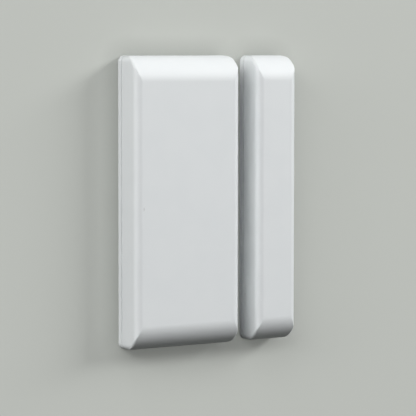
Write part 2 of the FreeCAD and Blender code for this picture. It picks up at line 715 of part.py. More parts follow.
for side, foot in ((-1, long_leg_up), (1, short_leg_up)):
    draw_circle(sketch, side * antenna_across, foot, at.antenna_wire + 2 * at.hole_clearance)
pocket(circuit_board, sketch, at.board_thickness)


# Coin cell and its two contacts
cell_front = board_front + at.contact_rise + at.cell_thickness
coin_cell = new_body("coin_cell")
sketch = new_sketch(coin_cell, "section", "XY_Plane")
can_back = at.cell_thickness - at.cell_cap_rise
cap_radius = at.cell_size / 2 - at.cell_crimp
draw_polygon(sketch, (
    (ZERO, ZERO),
    (at.cell_size / 2 - at.cell_edge, ZERO),
    (at.cell_size / 2, at.cell_edge),
    (at.cell_size / 2, can_back - at.cell_crimp / 2),
    (at.cell_size / 2 - at.cell_crimp / 2, can_back),
    (cap_radius, can_back),
    (cap_radius - at.cell_cap_rise, at.cell_thickness),
    (ZERO, at.cell_thickness),
))
revolve(coin_cell, sketch, "Y_Axis")
tie(coin_cell, "Placement.Base.y", -cell_front)
tie(coin_cell, "Placement.Base.z", cell_up)

cell_contact = new_body("cell_contact")
sketch = new_sketch(cell_contact, "section", "XY_Plane")
dimple_back = at.contact_sheet - at.contact_rise
draw_polygon(sketch, (
    (ZERO, dimple_back),
    (ZERO, -at.contact_rise),
    (at.dimple_size / 2, -at.contact_rise),
    (at.dimple_size / 2 + at.dimple_slope, -at.contact_sheet),
    (at.contact_size / 2, -at.contact_sheet),
    (at.contact_size / 2, ZERO),
    (at.dimple_size / 2 + at.dimple_slope, ZERO),
    (at.dimple_size / 2, dimple_back),
))
revolve(cell_contact, sketch, "Y_Axis")
tie(cell_contact, "Placement.Base.y", -board_front)
tie(cell_contact, "Placement.Base.z", cell_up)

cell_clip = new_body("cell_clip")
half_clip = (
    (clip_inside, -cell_front),
    (clip_inside, -board_front),
    (clip_end, -board_front),
    (clip_end, -(board_front + at.clip_sheet)),
    (clip_outside, -(board_front + at.clip_sheet)),
    (clip_outside, -(cell_front + at.clip_sheet)),
)
sketch = new_sketch(cell_clip, "strip", "XY_Plane", cell_up)
draw_polygon(sketch, half_clip + tuple((-across, up) for across, up in reversed(half_clip)))
pad(cell_clip, sketch, at.clip_width, symmetric=True)


# Reed switch: a glass capsule with an upper and a lower reed
glass_depth = board_front + at.glass_float + at.glass_size / 2
seal_start = at.glass_length / 2 - at.glass_seal
reed_glass = new_body("reed_glass")
sketch = new_sketch(reed_glass, "section", "XZ_Plane")
half_section = (
    (at.glass_size / 2 - at.glass_wall, seal_start),
    (at.lead_size / 2, seal_start),
    (at.lead_size / 2, at.glass_length / 2),
    (at.glass_size / 2, at.glass_length / 2),
)
draw_polygon(sketch, half_section + tuple((across, -up) for across, up in reversed(half_section)))
revolve(reed_glass, sketch, "Z_Axis")
glass_end = at.glass_length.number / 2
glass_radius = at.glass_size.number / 2
fillet(reed_glass, "ends",
       lambda edge: flat_at(abs_span(box_of(edge)[2]), glass_end)
       and edge.Length > 2 * math.pi * glass_radius - 1e-3,
       (at.glass_size - at.lead_size) / 2 - at.glass_end_flat)


def reed(label, end):
    """A flat reed inside the capsule with its round lead, bent back through the board.

    end is 1 for the upper reed and -1 for the lower.
    """
    body = new_body(label)
    blade_far = seal_start - at.blade_margin
    blade_near = -at.reed_lap / 2
    blade_back = end * (at.reed_air + at.reed_sheet) / 2 - at.reed_sheet / 2
    sketch = new_sketch(body, "blade", "XZ_Plane", blade_back)
    draw_rectangle(sketch, ZERO, end * (blade_far + blade_near) / 2, at.reed_width, blade_far - blade_near)
    pad(body, sketch, at.reed_sheet)
    root = blade_far - at.lead_root
    straight_end = at.glass_length / 2 + at.lead_run
    tail = glass_depth - board_back + at.lead_tail
    path = new_sketch(body, "lead_path", "YZ_Plane")
    centre = FreeCAD.Vector(at.lead_bend.number, end * straight_end.number, 0)
    turn = (0.5 * math.pi, math.pi) if end == 1 else (math.pi, 1.5 * math.pi)
    corner = FreeCAD.Vector(at.lead_bend.number, end * lead_foot.number, 0)
    path.addGeometry(Part.LineSegment(FreeCAD.Vector(0, end * root.number, 0),
                                      FreeCAD.Vector(0, end * straight_end.number, 0)))
    bend = Part.Circle(centre, FreeCAD.Vector(0, 0, 1), at.lead_bend.number)
    path.addGeometry(Part.ArcOfCircle(bend, *turn))
    path.addGeometry(Part.LineSegment(corner, FreeCAD.Vector(tail.number, end * lead_foot.number, 0)))
    arc_ends = (2, 1) if end == 1 else (1, 2)
    path.addConstraint(Sketcher.Constraint("Coincident", 0, 2, 1, arc_ends[0]))
    path.addConstraint(Sketcher.Constraint("Coincident", 1, arc_ends[1], 2, 1))
    hold(path, 0, 1, ZERO, end * root)
    hold(path, 0, 2, ZERO, end * straight_end)
    hold(path, 2, 1, at.lead_bend, end * lead_foot)
    hold(path, 2, 2, tail, end * lead_foot)
    index = path.addConstraint(Sketcher.Constraint("Radius", 1, at.lead_bend.number))
    tie(path, f"Constraints[{index}]", at.lead_bend)
    ring = new_sketch(body, "lead_ring", "XY_Plane", end * root)
    draw_circle(ring, ZERO, ZERO, at.lead_size)
    document.recompute()
    lead = body.newObject("PartDesign::AdditivePipe", f"{label}_lead")
    lead.Profile = ring
    lead.Spine = (path, ["Edge1", "Edge2", "Edge3"])
    finished(lead)
    return body


reed_upper = reed("reed_upper", 1)
reed_lower = reed("reed_lower", -1)
for piece in (reed_glass, reed_upper, reed_lower):
    tie(piece, "Placement.Base.x", glass_across)
    tie(piece, "Placement.Base.y", -glass_depth)
    tie(piece, "Placement.Base.z", glass_up)


# Antenna: one bent wire round the board's upper half
def bent_path(points, radius):
    """A wire of straight runs with one tangent arc at each inner point."""
    edges = []
    start = points[0]
    for before, corner, after in zip(points, points[1:], points[2:]):
        inward = (before - corner).normalize()
        outward = (after - corner).normalize()
        half_turn = (math.pi - inward.getAngle(outward)) / 2
        first = corner + inward * radius * math.tan(half_turn)
        last = corner + outward * radius * math.tan(half_turn)
        to_centre = (inward + outward).normalize()
        middle = corner + to_centre * radius * (1 / math.cos(half_turn) - 1)
        edges.append(Part.LineSegment(start, first).toShape())
        edges.append(Part.Arc(first, middle, last).toShape())
        start = last
    edges.append(Part.LineSegment(start, points[-1]).toShape())
    return Part.Wire(edges)


antenna = document.addObject("Part::Feature", "antenna_wire")
antenna.Label = "antenna_wire"
run_y = -(board_front + at.antenna_lift).number
foot_y = -(board_back - at.lead_tail).number
antenna_x = antenna_across.number
path = bent_path([
    FreeCAD.Vector(-antenna_x, foot_y, long_leg_up.number),
    FreeCAD.Vector(-antenna_x, run_y, long_leg_up.number),
    FreeCAD.Vector(-antenna_x, run_y, antenna_up.number),
    FreeCAD.Vector(antenna_x, run_y, antenna_up.number),
    FreeCAD.Vector(antenna_x, run_y, short_leg_up.number),
    FreeCAD.Vector(antenna_x, foot_y, short_leg_up.number),
], at.antenna_bend.number)
wire_end = Part.Circle(path.Vertexes[0].Point, FreeCAD.Vector(0, 1, 0), at.antenna_wire.number / 2)
antenna.Shape = path.makePipeShell([Part.Wire(wire_end.toShape())], True, True)
antenna.Placement = FreeCAD.Placement()


# Parts soldered to the board
def board_part(label):
    """A moulded or metal body on the board, with a smaller step or a round button on it where it has one."""
    body = new_body(label)
    part = {key: getattr(at, f"{label}_{key}") for key in BOARD_PARTS[label]}
    sketch = new_sketch(body, "body", "XZ_Plane")
    draw_rectangle(sketch, ZERO, ZERO, part["wide"], part["tall"])
    pad(body, sketch, part["rise"])
    if "top_rise" in part:
        sketch = new_sketch(body, "top", "XZ_Plane", part["rise"])
        if "top_size" in part:
            draw_circle(sketch, ZERO, ZERO, part["top_size"])
        else:
            draw_rectangle(sketch, ZERO, ZERO, part["top_wide"], part["top_tall"])
        pad(body, sketch, part["top_rise"])
    return body


def controller():
    """A moulded body with as many bent leads along each long side as it has room for."""
    body = new_body("controller_chip")
    sketch = new_sketch(body, "body", "XZ_Plane", at.chip_stand)
    draw_rectangle(sketch, ZERO, ZERO, at.controller_chip_wide, at.controller_chip_tall)
    pad(body, sketch, at.controller_chip_rise - at.chip_stand)
    lead_gaps = math.floor(((at.controller_chip_tall - 2 * at.chip_lead_end) / at.chip_lead_pitch).number)
    row_length = lead_gaps * at.chip_lead_pitch
    side = at.controller_chip_wide / 2
    middle = at.controller_chip_rise / 2
    sheet_half = at.chip_lead_sheet / 2
    knee = side + at.chip_lead_reach - at.chip_lead_foot
    end = side + at.chip_lead_reach
    sketch = new_sketch(body, "leads", "XY_Plane", -row_length / 2)
    for way in (-1, 1):
        draw_polygon(sketch, (
            (way * (side - at.chip_lead_width), -(middle - sheet_half)),
            (way * (side - at.chip_lead_width), -(middle + sheet_half)),
            (way * (knee + sheet_half), -(middle + sheet_half)),
            (way * (knee + sheet_half), -at.chip_lead_sheet),
            (way * end, -at.chip_lead_sheet),
            (way * end, ZERO),
            (way * (knee - sheet_half), ZERO),
            (way * (knee - sheet_half), -(middle - sheet_half)),
        ))
    leads = pad(body, sketch, at.chip_lead_width, symmetric=True)
    row = body.newObject("PartDesign::LinearPattern", "controller_chip_row")
    row.Originals = [leads]
    row.Direction = (origin_item(body, "Z_Axis"), [""])
    row.Occurrences = lead_gaps + 1
    tie(row, "Length", row_length)
    body.Tip = row
    finished(row)
    return body


def chip_group(label):
    """Like chips in one group, each a solid of its own."""
    boxes = []
    wide, tall, rise = (getattr(at, f"{label}_{key}") for key in ("wide", "tall", "rise"))
    for number, (across, up) in enumerate(board_places[label]):
        chip = document.addObject("Part::Box", f"{label}_{number}")
        tie(chip, "Length", wide)
        tie(chip, "Width", rise)
        tie(chip, "Height", tall)
        tie(chip, "Placement.Base.x", across - wide / 2)
        tie(chip, "Placement.Base.y", -(board_front + rise))
        tie(chip, "Placement.Base.z", up - tall / 2)
        boxes.append(chip)
    group = document.addObject("Part::Compound", label)
    group.Label = label
    group.Links = boxes
    document.recompute()
    return group


board_parts = [controller() if label == "controller_chip" else board_part(label) for label in BOARD_PARTS]
for piece in board_parts:
    across, up = board_places[piece.Label][0]
    tie(piece, "Placement.Base.x", across)
    tie(piece, "Placement.Base.y", -board_front)
    tie(piece, "Placement.Base.z", up)
chip_groups = [chip_group(label) for label in CHIP_GROUPS]

PIECES = [sensor_base, sensor_cover, circuit_board, coin_cell, cell_contact, cell_clip, reed_glass, reed_upper,
          reed_lower, antenna, *board_parts, *chip_groups, magnet_base, magnet_cover, bar_magnet]


# Every feature has to be sound before anything is written
document.recompute()
for item in document.Objects:
    if "Invalid" in item.State or "Error" in item.State:
        raise ValueError(f"{item.Name} failed: {item.State}")
for piece in PIECES:
    if piece.Shape.isNull() or not piece.Shape.isValid():
        raise ValueError(f"{piece.Label} has no valid shape")
os.makedirs("parts", exist_ok=True)
for piece in PIECES:
    piece.Shape.exportStep(f"parts/{piece.Label}.step")
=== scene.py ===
import math

import bpy
import numpy as np
from mathutils import Matrix, Vector


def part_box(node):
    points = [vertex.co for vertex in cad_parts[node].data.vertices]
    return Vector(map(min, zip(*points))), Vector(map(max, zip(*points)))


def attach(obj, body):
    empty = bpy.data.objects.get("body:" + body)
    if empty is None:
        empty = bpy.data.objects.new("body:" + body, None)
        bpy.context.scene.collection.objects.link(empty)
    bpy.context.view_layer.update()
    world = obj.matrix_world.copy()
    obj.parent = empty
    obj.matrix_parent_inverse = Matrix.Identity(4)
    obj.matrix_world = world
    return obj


# Wireless reed switch: a slim transmitter and its magnet unit, both in satin white housings.
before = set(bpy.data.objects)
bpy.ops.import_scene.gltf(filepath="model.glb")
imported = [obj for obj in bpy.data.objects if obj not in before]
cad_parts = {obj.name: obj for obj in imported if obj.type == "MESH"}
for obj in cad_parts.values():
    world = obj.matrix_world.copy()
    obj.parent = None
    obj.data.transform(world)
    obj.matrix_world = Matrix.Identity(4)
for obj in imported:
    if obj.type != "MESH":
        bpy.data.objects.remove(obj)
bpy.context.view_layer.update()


# Transmitter base: the back plate that two countersunk screws hold to the surface, injection moulded in
# white ABS. The mould is spark-eroded, which leaves a fine satin grain. Ejector pins leave faint rings on
# its back. The shadow line between its rim and the cover is darkened a little, partly painted shade, partly
# dust.
MM = 0.001
MIX_FACTOR, MIX_FIRST, MIX_SECOND = 0, 6, 7


class Shade:
    """A socket of one material's nodes. Arithmetic on it adds Math nodes, and node adds any other kind."""

    def __init__(self, tree, socket=None):
        self.tree = tree
        self.socket = socket

    def node(self, kind, values, settings=None, output=0):
        """Add a node: its settings first, then the values or links of its sockets."""
        made = self.tree.nodes.new("ShaderNode" + kind)
        for name, setting in (settings or {}).items():
            setattr(made, name, setting)
        for name, value in values.items():
            if isinstance(value, Shade):
                self.tree.links.new(value.socket, made.inputs[name])
            else:
                made.inputs[name].default_value = value
        return Shade(self.tree, made.outputs[output]) if len(made.outputs) else None

    def math(self, operation, first, second=0.0):
        return self.node("Math", {0: first, 1: second}, {"operation": operation})

    def __add__(self, other):
        return self.math("ADD", self, other)

    def __radd__(self, other):
        return self.math("ADD", other, self)

    def __sub__(self, other):
        return self.math("SUBTRACT", self, other)

    def __rsub__(self, other):
        return self.math("SUBTRACT", other, self)

    def __mul__(self, other):
        return self.math("MULTIPLY", self, other)

    def __rmul__(self, other):
        return self.math("MULTIPLY", other, self)

    def __truediv__(self, other):
        return self.math("DIVIDE", self, other)

    def __abs__(self):
        return self.math("ABSOLUTE", self)

    def larger(self, other):
        return self.math("MAXIMUM", self, other)

    def below(self, edge):
        return self.math("LESS_THAN", self, edge)

    def length_with(self, other):
        """Distance of a point from the origin, from its two coordinates."""
        return self.math("SQRT", self * self + other * other)

    def fraction(self):
        return self.math("FRACT", self)

    def axes(self):
        """The x, y and z of a vector."""
        return [self.node("SeparateXYZ", {"Vector": self}, output=axis) for axis in range(3)]

    def rises(self, low, high):
        """A mask that goes smoothly from 0 at low to 1 at high."""
        values = {"Value": self, "From Min": low, "From Max": high}
        return self.node("MapRange", values, {"interpolation_type": "SMOOTHSTEP"})

    def mix(self, first, second):
        """By this mask, from the first colour at 0 to the second at 1."""
        values = {MIX_FACTOR: self, MIX_FIRST: first, MIX_SECOND: second}
        return self.node("Mix", values, {"data_type": "RGBA"}, output=2)

    def blend(self, first, second):
        """By this mask, from the first surface at 0 to the second at 1."""
        return self.node("MixShader", {0: self, 1: first, 2: second})

    def noise(self, size, detail=2.0, stretch=(1, 1, 1)):
        """Noise from 0 to 1 in spots of this size, longer along an axis whose stretch is above 1."""
        scale = tuple(1 / (size * times) for times in stretch)
        place = self.node("Mapping", {"Vector": self, "Scale": scale})
        return self.node("TexNoise", {"Vector": place, "Scale": 1.0, "Detail": detail})

    def relief(self, height, depth, edge=0.1 * MM):
        """The normal of a surface whose edges are rounded and whose height mask stands for this depth."""
        rounded = self.node("Bevel", {"Radius": edge}, {"samples": 6})
        return self.node("Bump", {"Distance": depth, "Height": height, "Normal": rounded})


def colour(red, green, blue):
    return (red, green, blue, 1.0)


def make_material(name, paint):
    """A material of one Principled surface, whose sockets are what paint gives for a place on the piece."""
    made = bpy.data.materials.new(name)
    made.use_nodes = True
    made.node_tree.nodes.clear()
    place = Shade(made.node_tree).node("TexCoord", {}, output="Object")
    place.node("OutputMaterial", {"Surface": place.node("BsdfPrincipled", paint(place))})
    return made


def dress(node, made):
    """Give a CAD node its finish."""
    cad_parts[node].material_slots[0].material = made


WHITE = colour(0.775, 0.800, 0.808)
WHITE_SHADE = colour(0.765, 0.791, 0.800)
# The colour that dirt marks, and the painted shade in the back plates' shadow lines, darken towards.
WHITE_DIRT_AND_SHADE = colour(0.36, 0.36, 0.34)
WHITE_IOR = 1.53
GRAIN_SIZE = 0.24 * MM
GRAIN_DEPTH = 0.004 * MM
CLOUD_SIZE = 7 * MM
HANDLED_SIZE = 2.2 * MM


def white_moulding(name, marks):
    """Satin white ABS. marks gives a mask of dirt and painted shade and a height in grains, for what only
    this piece has.
    """
    def paint(place):
        dirt_and_shade, height = marks(place)
        grain = place.noise(GRAIN_SIZE, detail=3.0)
        cloud = place.noise(CLOUD_SIZE)
        handled = place.noise(HANDLED_SIZE, detail=4.0)
        clean = cloud.rises(0.35, 0.65).mix(WHITE_SHADE, WHITE)
        return {
            # On a back plate this mask is the shadow line, where the darkening is partly painted shade.
            "Base Color": dirt_and_shade.mix(clean, WHITE_DIRT_AND_SHADE),
            "Roughness": 0.45 + 0.10 * handled + 0.05 * grain,
            "Normal": place.relief(grain + height, GRAIN_DEPTH),
            "IOR": WHITE_IOR,
        }
    return make_material(name, paint)


SEAM_BACK, SEAM_FRONT = -1.3 * MM, -1.5 * MM
SEAM_EDGE = 0.02 * MM
DUST_SIZE = 1.1 * MM
EJECTOR_RADIUS = 1.5 * MM
EJECTOR_LINE = 0.06 * MM
EJECTOR_SINK = 3
EJECTOR_AT = (9.0 * MM, 27.0 * MM)
BACK_FACE = (-0.05 * MM, -0.01 * MM)


def base_marks(middle, across, up):
    """Marks of a back plate: painted shade and dust in the shadow line, and four ejector rings on the back.
    """
    def marks(place):
        x, y, z = place.axes()
        # The shadow line is darkened with painted shade, made uneven by dust.
        behind_cover = y.rises(SEAM_FRONT - SEAM_EDGE, SEAM_FRONT)
        seam = behind_cover * (1 - y.rises(SEAM_BACK, SEAM_BACK + SEAM_EDGE))
        dust = place.noise(DUST_SIZE, detail=4.0).rises(0.3, 0.7)
        from_ring = abs((abs(x - middle) - across).length_with(abs(z) - up) - EJECTOR_RADIUS)
        ring = (1 - from_ring.rises(0.0, EJECTOR_LINE)) * y.rises(*BACK_FACE)
        return seam * (0.06 + 0.16 * dust), -EJECTOR_SINK * ring
    return marks


dress("sensor_base", white_moulding("sensor_base_white", base_marks(0.0, *EJECTOR_AT)))


# Circuit board: 0.8 mm glass-fibre epoxy with green solder resist over fine copper tracks, gold-plated
# rings round its holes, and bare yellowish fibre on its sawn edges. It lies on six rests of the base.
BEHIND_BOARD = -1.75 * MM


def points_of(node):
    """All corner points of a CAD node, one in each row."""
    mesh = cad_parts[node].data
    points = np.zeros(len(mesh.vertices) * 3, np.float32)
    mesh.vertices.foreach_get("co", points)
    return points.reshape(-1, 3).astype(float)


def feet_of(node):
    """Where a node's wires come out behind the board: (x, z) of each."""
    points = points_of(node)
    behind = points[points[:, 1] > BEHIND_BOARD]
    feet = []
    for side in (behind[behind[:, 0] < 0], behind[behind[:, 0] > 0]):
        if len(side):
            middle = (side.min(axis=0) + side.max(axis=0)) / 2
            feet.append((float(middle[0]), float(middle[2])))
    return feet


WIRE_FEET = [foot for node in ("reed_upper", "reed_lower", "antenna_wire") for foot in feet_of(node)]
TRACK_PITCH = 1.27 * MM
TRACK_EDGE = (0.10, 0.13)
PAD_EDGE = (0.68 * MM, 0.72 * MM)
ROUTE_SIZE = 6 * MM
POUR_SIZE = 9 * MM
WEAVE_SIZE = 0.5 * MM
COPPER_DEPTH = 0.02 * MM
RESIST = colour(0.012, 0.115, 0.048)
RESIST_ON_COPPER = colour(0.03, 0.21, 0.085)
PAD_GOLD = colour(0.83, 0.62, 0.28)
FIBRE = colour(0.42, 0.39, 0.22)


def resist_board(place):
    x, y, z = place.axes()
    facing = abs(place.node("TexCoord", {}, output="Normal").axes()[1])
    up_lines = 1 - abs((x / TRACK_PITCH).fraction() - 0.5).rises(*TRACK_EDGE)
    cross_lines = 1 - abs((z / TRACK_PITCH).fraction() - 0.5).rises(*TRACK_EDGE)
    region = place.noise(ROUTE_SIZE, detail=0.0).rises(0.495, 0.505)
    poured = place.noise(POUR_SIZE, detail=0.0).rises(0.56, 0.565)
    tracks = (up_lines * region).larger(cross_lines * (1 - region)).larger(poured)
    pads = 0.0
    for foot_x, foot_z in WIRE_FEET:
        pads = 1 - (x - foot_x).length_with(z - foot_z).rises(*PAD_EDGE) + pads
    weave = place.noise(WEAVE_SIZE, stretch=(4, 1, 1))
    face = pads.mix(tracks.mix(RESIST, RESIST_ON_COPPER), PAD_GOLD)
    return {
        "Base Color": facing.rises(0.4, 0.6).mix(FIBRE, face),
        "Metallic": pads * facing.rises(0.4, 0.6),
        "Roughness": 0.30 + 0.15 * weave + 0.2 * (1 - facing),
        "Normal": place.relief(tracks + 0.3 * weave, COPPER_DEPTH, edge=0.05 * MM),
    }


dress("circuit_board", make_material("board_resist", resist_board))


# Chips moulded in black epoxy: the radio chip with its pads underneath, and the controller chip with bent
# tinned leads along both sides. Each has a moulded dimple at its first lead.
EPOXY = colour(0.018, 0.018, 0.02)
TIN = colour(0.72, 0.72, 0.70)
LEAD_EDGE = 0.01 * MM
DIMPLE_EDGE = (0.22 * MM, 0.30 * MM)
DIMPLE_DEPTH = 0.05 * MM


def black_chip(node, body_half_width, dimple_inset):
    """Black epoxy inside the body's half width, and tinned metal outside it."""
    low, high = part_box(node)
    middle = (low + high) / 2

    def paint(place):
        x, y, z = place.axes()
        lead = abs(x - middle.x).rises(body_half_width, body_half_width + LEAD_EDGE)
        dimple_x = middle.x - body_half_width + dimple_inset
        dimple = 1 - (x - dimple_x).length_with(z - (high.z - dimple_inset)).rises(*DIMPLE_EDGE)
        grain = place.noise(0.09 * MM, detail=3.0)
        return {
            "Base Color": lead.mix(EPOXY, TIN),
            "Metallic": lead,
            "Roughness": 0.55 + 0.2 * grain - 0.3 * lead,
            "Normal": place.relief(0.15 * grain - dimple, DIMPLE_DEPTH, edge=0.03 * MM),
        }
    return make_material(f"{node}_epoxy", paint)


dress("radio_chip", black_chip("radio_chip", 2.1 * MM, 0.6 * MM))
dress("controller_chip", black_chip("controller_chip", 1.95 * MM, 0.8 * MM))


# Crystal and antenna filter: a metal lid seam-welded on a ceramic body, which is soldered to the board by
# the pads under it. The lid is the smaller step of the two.
LID = colour(0.74, 0.70, 0.60)
BODY_CERAMIC = colour(0.10, 0.085, 0.075)
LID_EDGE = 0.02 * MM


def lidded(node, lid_rise):
    """A ceramic body with a lid of this height in front."""
    lid_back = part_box(node)[0].y + lid_rise

    def paint(place):
        lid = 1 - place.axes()[1].rises(lid_back, lid_back + LID_EDGE)
        brushed = place.noise(0.06 * MM, detail=3.0, stretch=(1, 1, 12))
        speckle = place.noise(0.12 * MM, detail=3.0)
        return {
            "Base Color": lid.mix(BODY_CERAMIC, LID),
            "Metallic": lid,
            "Roughness": 0.62 - 0.38 * lid + 0.15 * brushed,
            "Normal": place.relief(brushed * lid + speckle * (1 - lid), 0.01 * MM, edge=0.05 * MM),
        }
    return make_material(f"{node}_lid", paint)


dress("crystal", lidded("crystal", 0.3 * MM))
dress("antenna_filter", lidded("antenna_filter", 0.4 * MM))


# Bulk capacitor and protection diode: moulded bodies with tinned ends, the capacitor in yellow epoxy with
# a dark bar at its positive end, the diode in black with a pale bar at its cathode.
CAPACITOR_YELLOW = colour(0.72, 0.43, 0.055)
CAPACITOR_BAR = colour(0.22, 0.10, 0.02)
DIODE_BAR = colour(0.55, 0.55, 0.53)
END_TALL = 0.30 * MM
BAR_DOWN = 0.85 * MM
BAR_EDGE = 0.02 * MM


def barred(node, body, bar):
    """A moulded body with tinned ends up and down, and a bar of the second colour near its upper end."""
    low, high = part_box(node)
    middle = (low.z + high.z) / 2
    half = (high.z - low.z) / 2

    def paint(place):
        up = place.axes()[2]
        end = abs(up - middle).rises(half - END_TALL, half - END_TALL + BAR_EDGE)
        stripe = up.rises(high.z - BAR_DOWN, high.z - BAR_DOWN + BAR_EDGE)
        grain = place.noise(0.10 * MM, detail=3.0)
        return {
            "Base Color": end.mix(stripe.mix(body, bar), TIN),
            "Metallic": end,
            "Roughness": 0.48 + 0.18 * grain - 0.2 * end,
            "Normal": place.relief(grain, 0.01 * MM, edge=0.06 * MM),
        }
    return make_material(f"{node}_moulding", paint)


dress("bulk_capacitor", barred("bulk_capacitor", CAPACITOR_YELLOW, CAPACITOR_BAR))
dress("protection_diode", barred("protection_diode", EPOXY, DIODE_BAR))


# Chip capacitors, resistors and inductors: fired ceramic blocks with tinned bands round both ends.
# Each kind is one node, so the bands are set from the middles of its blocks.
CHIP_WIDE, CHIP_TALL = 0.8 * MM, 1.6 * MM
BAND = 0.32 * MM
BAND_EDGE = 0.02 * MM
OWN_REACH = (0.55, 0.6)
CAPACITOR_TAN = colour(0.44, 0.27, 0.14)
RESISTOR_BLACK = colour(0.025, 0.025, 0.028)
INDUCTOR_GREY = colour(0.16, 0.17, 0.19)


def chip_middles(node):
    """(x, z) of each block: a corner is a block's low one if its own block's other corners are there."""
    corners = np.unique(np.round(points_of(node)[:, [0, 2]], 6), axis=0)
    opposite = corners + (CHIP_WIDE, CHIP_TALL)
    found = (np.abs(opposite[:, None] - corners[None]) < 0.01 * MM).all(axis=-1).any(axis=1)
    return corners[found] + (CHIP_WIDE / 2, CHIP_TALL / 2)


def ceramic_chips(node, body):
    def paint(place):
        x, y, z = place.axes()
        band = 0.0
        for middle_x, middle_z in chip_middles(node):
            beside = 1 - abs(x - float(middle_x)).rises(*(CHIP_WIDE * reach for reach in OWN_REACH))
            from_middle = abs(z - float(middle_z))
            end = from_middle.rises(CHIP_TALL / 2 - BAND, CHIP_TALL / 2 - BAND + BAND_EDGE)
            near = 1 - from_middle.rises(*(CHIP_TALL * reach for reach in OWN_REACH))
            band = beside * end * near + band
        grain = place.noise(0.07 * MM, detail=3.0)
        return {
            "Base Color": band.mix(body, TIN),
            "Metallic": band,
            "Roughness": 0.50 + 0.2 * grain - 0.15 * band,
            "Normal": place.relief(grain, 0.01 * MM, edge=0.06 * MM),
        }
    return make_material(f"{node}_ceramic", paint)


dress("chip_capacitors", ceramic_chips("chip_capacitors", CAPACITOR_TAN))
dress("chip_resistors", ceramic_chips("chip_resistors", RESISTOR_BLACK))
dress("chip_inductors", ceramic_chips("chip_inductors", INDUCTOR_GREY))


# Status LED: a clear lens, yellowish from the phosphor in it, cast on a white body. It is soldered to the
# board behind the thinned spot of the cover.
LENS = colour(0.80, 0.74, 0.42)
LED_WHITE = colour(0.80, 0.80, 0.77)
LENS_RISE = 0.4 * MM
LENS_EDGE = 0.01 * MM


def led_parts(place):
    lens_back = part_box("status_led")[0].y + LENS_RISE
    lens = 1 - place.axes()[1].rises(lens_back, lens_back + LENS_EDGE)
    flow = place.noise(0.2 * MM)
    return {
        "Base Color": lens.mix(LED_WHITE, LENS),
        "Roughness": 0.45 - 0.32 * lens + 0.1 * flow,
        "Coat Weight": 0.6 * lens,
        "Normal": place.relief(flow, 0.005 * MM, edge=0.05 * MM),
    }


dress("status_led", make_material("led_lens_and_body", led_parts))


# Learn and tamper switches: sealed units with a round button in a nickel-plated frame over a dark body. Both
# are soldered to the board, and a post of the cover holds the tamper switch's button down.
SWITCH_DARK = colour(0.03, 0.03, 0.034)
NICKEL = colour(0.70, 0.68, 0.64)
LEARN_BUTTON = colour(0.62, 0.60, 0.55)
TAMPER_BUTTON = colour(0.42, 0.03, 0.02)
FRAME_SHEET = 0.25 * MM
FRAME_EDGE = 0.02 * MM


def switch_parts(node, button_radius, button_rise, button):
    """The frame covers the front of the body, and the button stands out of it by its rise."""
    low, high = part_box(node)
    middle = (low + high) / 2
    frame_back = low.y + button_rise + FRAME_SHEET

    def paint(place):
        x, y, z = place.axes()
        from_stem = (x - middle.x).length_with(z - middle.z)
        stem = 1 - from_stem.rises(button_radius, button_radius + FRAME_EDGE)
        metal = (1 - y.rises(frame_back, frame_back + FRAME_EDGE)) * (1 - stem)
        brushed = place.noise(0.07 * MM, detail=3.0, stretch=(10, 1, 1))
        return {
            "Base Color": stem.mix(metal.mix(SWITCH_DARK, NICKEL), button),
            "Metallic": metal,
            "Roughness": 0.52 - 0.22 * metal + 0.12 * brushed,
            "Normal": place.relief(brushed, 0.006 * MM, edge=0.08 * MM),
        }
    return make_material(f"{node}_unit", paint)


dress("learn_switch", switch_parts("learn_switch", 0.8 * MM, 0.5 * MM, LEARN_BUTTON))
dress("tamper_switch", switch_parts("tamper_switch", 0.7 * MM, 0.6 * MM, TAMPER_BUTTON))


# Coin cell: a pressed nickel-plated steel can with a finely turned face towards the cover, crimped over a
# dark gasket ring round its cap.
CELL_STEEL = colour(0.66, 0.66, 0.65)
GASKET = colour(0.03, 0.035, 0.045)
CAP_RADIUS = 8.8 * MM
GASKET_EDGE = (0.12 * MM, 0.2 * MM)
GASKET_UP = (0.45 * MM, 0.35 * MM)
TURNED_PITCH = 0.05 * MM


def cell_metal(place):
    low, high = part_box("coin_cell")
    x, y, z = place.axes()
    radius = (x - (low.x + high.x) / 2).length_with(z - (low.z + high.z) / 2)
    ring = 1 - abs(radius - CAP_RADIUS).rises(*GASKET_EDGE)
    gasket = ring * y.rises(*(high.y - up for up in GASKET_UP))
    turned = place.node("TexNoise", {"W": radius / TURNED_PITCH, "Scale": 1.0, "Detail": 3.0},
                        {"noise_dimensions": "1D"})
    smears = place.noise(3 * MM, detail=4.0)
    return {
        "Base Color": gasket.mix(CELL_STEEL, GASKET),
        "Metallic": 1 - gasket,
        "Roughness": 0.20 + 0.14 * turned + 0.10 * smears + 0.3 * gasket,
        "Normal": place.relief(turned, 0.006 * MM, edge=0.1 * MM),
    }


dress("coin_cell", make_material("cell_can", cell_metal))


# Cell contact and cell clip: the negative contact is gold-flashed sheet, soldered flat to the board. The
# positive clip is a strip of nickel-plated spring steel, bent over the cell and soldered by its two feet.
GOLD = colour(0.80, 0.58, 0.24)
SPRING = colour(0.62, 0.61, 0.59)
SMEARED = 0.82


def rolled_sheet(name, metal, stretch):
    """Sheet metal with rolling lines along the stretched axis and a few smears."""
    smeared = colour(*(SMEARED * part for part in metal[:3]))

    def paint(place):
        lines = place.noise(0.08 * MM, detail=3.0, stretch=stretch)
        smears = place.noise(1.8 * MM, detail=4.0)
        return {
            "Base Color": smears.rises(0.3, 0.8).mix(metal, smeared),
            "Metallic": 1.0,
            "Roughness": 0.22 + 0.16 * lines + 0.12 * smears,
            "Normal": place.relief(lines, 0.004 * MM, edge=0.04 * MM),
        }
    return make_material(name, paint)


dress("cell_contact", rolled_sheet("contact_gold", GOLD, (1, 1, 14)))
dress("cell_clip", rolled_sheet("clip_nickel", SPRING, (14, 1, 1)))


